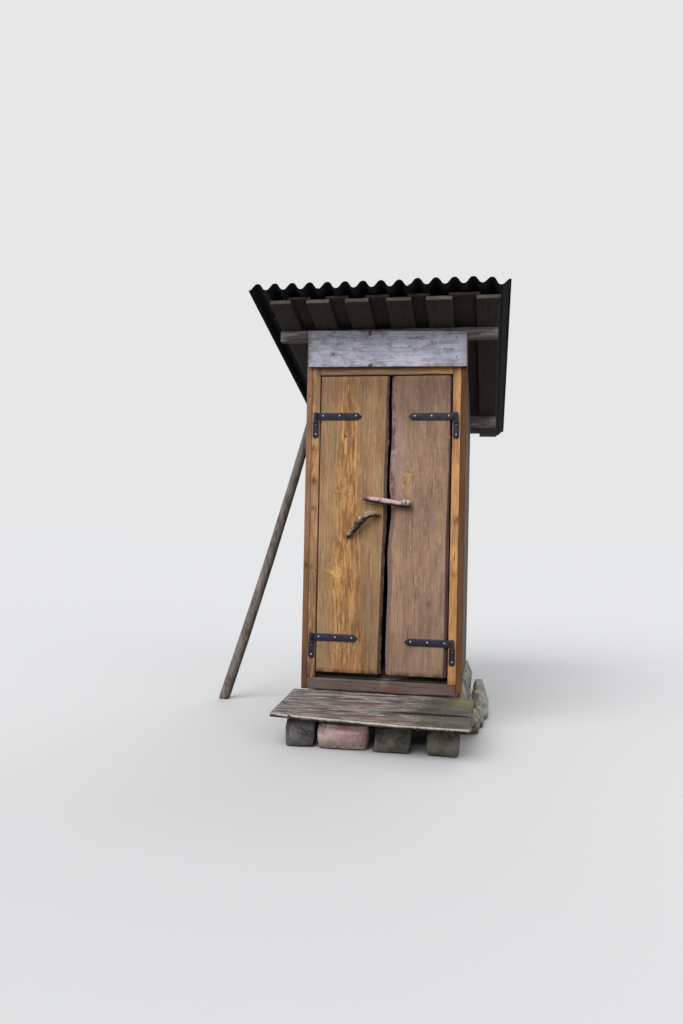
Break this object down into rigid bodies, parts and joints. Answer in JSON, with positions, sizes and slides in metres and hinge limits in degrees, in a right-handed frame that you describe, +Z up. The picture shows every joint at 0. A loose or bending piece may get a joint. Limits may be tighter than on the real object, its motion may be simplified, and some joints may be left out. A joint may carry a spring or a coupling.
{
  "type": "wooden outhouse",
  "caption": "Small timber outhouse with a shed roof of corrugated sheet over boards, double plank doors on strap hinges, a turning stick latch, a board step on stones and a propping pole.",
  "frame": {"origin": "on the ground under the middle of the doorway, in the plane of the jambs' front faces, on the flat underside of the middle front foundation stone", "axes": "+X to the right seen from the front, +Y into the hut, +Z up"},
  "size_m": [1.7791, 2.2766, 2.4182],
  "materials": {
    "grey_stone": "rough",
    "pink_granite": "rough",
    "dark_stone": "rough",
    "sill_timber": "weathered",
    "grey_boards": "worn",
    "oiled_pine": "oiled",
    "aged_timber": "sawn",
    "grey_beam": "weathered",
    "wall_boards": "weathered",
    "whitewashed_board": "worn whitewash",
    "deck_boards": "weathered",
    "bitumen_sheet": "matt",
    "black_iron": "satin",
    "step_boards": "weathered",
    "bark_pole": "bark",
    "left_plank": "weathered",
    "right_plank": "weathered",
    "handle_branch": "barked",
    "latch_branch": "peeled",
    "nail_steel": "dull"
  },
  "bodies": {
    "house": {"front_foundation_stones": "grey_stone", "left_foundation_stones": "grey_stone", "right_foundation_stones": "grey_stone", "back_foundation_stones": "grey_stone", "front_sill": "sill_timber", "rear_sill": "sill_timber", "side_sills": "sill_timber", "floor_boards": "grey_boards", "left_jamb": "oiled_pine", "right_jamb": "oiled_pine", "head_rail": "oiled_pine", "corner_boards": "oiled_pine", "rear_posts": "aged_timber", "front_beam": "grey_beam", "rear_beam": "grey_beam", "left_wall_rails": "aged_timber", "right_wall_rails": "aged_timber", "back_wall_rail": "aged_timber", "left_wall_boards": "wall_boards", "right_wall_boards": "wall_boards", "back_wall_boards": "wall_boards", "sign_board": "whitewashed_board", "deck_lower_boards": "deck_boards", "deck_upper_boards": "deck_boards", "roof_sheet_left": "bitumen_sheet", "roof_sheet_right": "bitumen_sheet", "left_hinge_plates": "black_iron", "right_hinge_plates": "black_iron", "step_board_back": "step_boards", "step_board_front": "step_boards", "step_bearers": "sill_timber", "step_stone_grey": "grey_stone", "step_stone_pink": "pink_granite", "step_stones_dark": "dark_stone", "step_stones_rear": "dark_stone", "prop_pole": "bark_pole"},
    "right_door": {"right_leaf": "right_plank", "right_leaf_ledges": "aged_timber", "right_straps": "black_iron", "latch_nail": "nail_steel"},
    "left_door": {"left_leaf": "left_plank", "left_leaf_ledges": "aged_timber", "left_straps": "black_iron", "left_handle": "handle_branch"},
    "latch": {"latch_stick": "latch_branch"}
  },
  "joints": [
    {"name": "right_door_swing", "type": "hinge", "parent": "house", "child": "right_door", "pos_m": [0.395, -0.0133, 0], "axis": [0, 0, 1], "range_deg": [0, 110]},
    {"name": "left_door_swing", "type": "hinge", "parent": "house", "child": "left_door", "pos_m": [-0.395, -0.0133, 0], "axis": [0, 0, -1], "range_deg": [0, 110]},
    {"name": "latch_turn", "type": "hinge", "parent": "right_door", "child": "latch", "pos_m": [0.119, -0.031, 1.254], "axis": [0, 1, 0], "range_deg": [0, 85]}
  ],
  "couplings": [
    {"joint": "left_door_swing", "follows": "right_door_swing", "ratio": 1}
  ]
}
